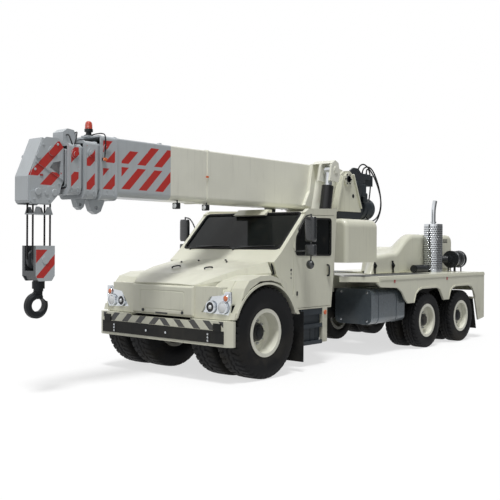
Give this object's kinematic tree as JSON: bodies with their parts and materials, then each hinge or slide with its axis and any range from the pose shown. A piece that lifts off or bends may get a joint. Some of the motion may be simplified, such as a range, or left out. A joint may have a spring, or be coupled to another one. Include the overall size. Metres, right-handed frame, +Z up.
{
  "type": "articulated mobile crane",
  "caption": "Road-going crane: cab and telescopic boom on a front chassis that pivots on a rear chassis with deck, engine hood and twin-tyred wheels; hook block hangs at the boom head.",
  "frame": {"origin": "on the ground, under the middle of the whole vehicle's box", "axes": "+X forward from engine to cab, +Y to the driver's left, +Z up"},
  "size_m": [10.75, 2.96, 3.6118],
  "materials": {
    "paint_cream": "semi-gloss cream paint",
    "paint_grey": "light blue-grey paint",
    "paint_dark": "dark slate paint",
    "black_plastic": "satin black",
    "glass": "tinted safety glass",
    "chrome": "polished",
    "lamp_silver": "bright reflector",
    "amber": "clear lens over amber",
    "lamp_red": "clear lens over red",
    "rubber": "matt",
    "iron": "rough casting",
    "rope": "greased wire",
    "tyre": "matt tread rubber",
    "rim_cream": "cream paint"
  },
  "bodies": {
    "front_chassis": {"chassis_front": "paint_dark", "cab_shell": "paint_cream", "cab_glass": "glass", "cab_interior": "black_plastic", "front_wings": "paint_cream", "bumper": "paint_cream", "bumper_plate": "paint_dark", "headlamps": "lamp_silver", "cab_steps": "paint_dark", "mudflaps_front": "rubber", "mast": "paint_cream", "mast_cheeks": "paint_cream", "boom_foot_pin": "paint_dark", "counterweights": "paint_cream", "visor": "black_plastic", "indicators": "amber"},
    "rear_chassis": {"chassis_rear": "paint_dark", "axles_rear": "paint_dark", "deck": "paint_cream", "deck_skirts": "paint_cream", "tail_lamps": "lamp_red", "tanks": "paint_dark", "engine": "iron", "exhaust": "chrome", "air_cleaner": "black_plastic", "mudflaps_rear": "rubber"},
    "door_left": {"door_left": "paint_cream", "door_glass_left": "glass", "mirrors_left": "black_plastic"},
    "door_right": {"door_right": "paint_cream", "door_glass_right": "glass", "mirrors_right": "black_plastic"},
    "bonnet": {"bonnet": "paint_cream"},
    "engine_hood": {"engine_hood": "paint_cream"},
    "boom_base": {"boom_base": "paint_cream", "winch": "paint_dark", "boom_lamps": "black_plastic"},
    "boom_section_2": {"boom_section_2": "paint_grey"},
    "boom_section_3": {"boom_section_3": "paint_grey", "reel_cover": "paint_grey"},
    "boom_section_4": {"boom_section_4": "paint_grey", "boom_head": "paint_grey", "head_sheaves": "paint_dark"},
    "lift_barrels": {"lift_barrels": "paint_dark"},
    "lift_rods": {"lift_rods": "chrome"},
    "hook_block": {"hook_block": "paint_grey", "hook_ropes": "rope"},
    "hook": {"hook": "paint_dark"},
    "wheels_front_left": {"tyres_front_left": "tyre", "rims_front_left": "rim_cream"},
    "wheels_front_right": {"tyres_front_right": "tyre", "rims_front_right": "rim_cream"},
    "wheels_mid_left": {"tyres_mid_left": "tyre", "rims_mid_left": "rim_cream"},
    "wheels_mid_right": {"tyres_mid_right": "tyre", "rims_mid_right": "rim_cream"},
    "wheels_rear_left": {"tyres_rear_left": "tyre", "rims_rear_left": "rim_cream"},
    "wheels_rear_right": {"tyres_rear_right": "tyre", "rims_rear_right": "rim_cream"}
  },
  "joints": [
    {"name": "chassis_pivot", "type": "hinge", "parent": "front_chassis", "child": "rear_chassis", "pos_m": [-0.325, 0, 0.84], "axis": [0, 0, 1], "range_deg": [-40, 40]},
    {"name": "door_left_hinge", "type": "hinge", "parent": "front_chassis", "child": "door_left", "pos_m": [1.19, 1.12, 1.7], "axis": [0, 0, -1], "range_deg": [0, 65]},
    {"name": "door_right_hinge", "type": "hinge", "parent": "front_chassis", "child": "door_right", "pos_m": [1.19, -1.12, 1.7], "axis": [0, 0, 1], "range_deg": [0, 65]},
    {"name": "bonnet_tilt", "type": "hinge", "parent": "front_chassis", "child": "bonnet", "pos_m": [2.915, 0, 1.364], "axis": [0, 1, 0], "range_deg": [0, 32]},
    {"name": "hood_lift", "type": "hinge", "parent": "rear_chassis", "child": "engine_hood", "pos_m": [-3.625, -0.545, 1.417], "axis": [1, 0, 0], "range_deg": [0, 35]},
    {"name": "boom_luff", "type": "hinge", "parent": "front_chassis", "child": "boom_base", "pos_m": [-1.225, 0, 3.17], "axis": [0, -1, 0], "range_deg": [0, 52]},
    {"name": "boom_slide_2", "type": "slide", "parent": "boom_base", "child": "boom_section_2", "axis": [1, 0, 0], "range_m": [0, 3.6]},
    {"name": "boom_slide_3", "type": "slide", "parent": "boom_section_2", "child": "boom_section_3", "axis": [1, 0, 0], "range_m": [0, 3.6]},
    {"name": "boom_slide_4", "type": "slide", "parent": "boom_section_3", "child": "boom_section_4", "axis": [1, 0, 0], "range_m": [0, 3.6]},
    {"name": "lift_barrel_swing", "type": "hinge", "parent": "front_chassis", "child": "lift_barrels", "pos_m": [-0.125, 0, 1.3], "axis": [0, -1, 0], "range_deg": [0, 6.09]},
    {"name": "lift_rod_slide", "type": "slide", "parent": "lift_barrels", "child": "lift_rods", "axis": [-0.1798, 0, 0.9837], "range_m": [0, 0.624]},
    {"name": "hook_block_swing", "type": "hinge", "parent": "boom_section_4", "child": "hook_block", "pos_m": [5.115, 0, 2.59], "axis": [0, 1, 0], "range_deg": [0, 54]},
    {"name": "hook_swivel", "type": "hinge", "parent": "hook_block", "child": "hook", "pos_m": [5.115, 0, 1.4], "axis": [0, 0, 1], "continuous": true},
    {"name": "spin_front_left", "type": "hinge", "parent": "front_chassis", "child": "wheels_front_left", "pos_m": [2.175, 0, 0.674], "axis": [0, 1, 0], "continuous": true},
    {"name": "spin_front_right", "type": "hinge", "parent": "front_chassis", "child": "wheels_front_right", "pos_m": [2.175, 0, 0.674], "axis": [0, 1, 0], "continuous": true},
    {"name": "spin_mid_left", "type": "hinge", "parent": "rear_chassis", "child": "wheels_mid_left", "pos_m": [-2.787, 0, 0.525], "axis": [0, 1, 0], "continuous": true},
    {"name": "spin_mid_right", "type": "hinge", "parent": "rear_chassis", "child": "wheels_mid_right", "pos_m": [-2.787, 0, 0.525], "axis": [0, 1, 0], "continuous": true},
    {"name": "spin_rear_left", "type": "hinge", "parent": "rear_chassis", "child": "wheels_rear_left", "pos_m": [-4.24, 0, 0.525], "axis": [0, 1, 0], "continuous": true},
    {"name": "spin_rear_right", "type": "hinge", "parent": "rear_chassis", "child": "wheels_rear_right", "pos_m": [-4.24, 0, 0.525], "axis": [0, 1, 0], "continuous": true}
  ],
  "couplings": [
    {"joint": "boom_slide_3", "follows": "boom_slide_2", "ratio": 1},
    {"joint": "boom_slide_4", "follows": "boom_slide_2", "ratio": 1},
    {"joint": "lift_barrel_swing", "follows": "boom_luff", "ratio": 0.1094},
    {"joint": "lift_rod_slide", "follows": "boom_luff", "m_per_rad": 0.67653},
    {"joint": "hook_block_swing", "follows": "boom_luff", "ratio": 1}
  ]
}
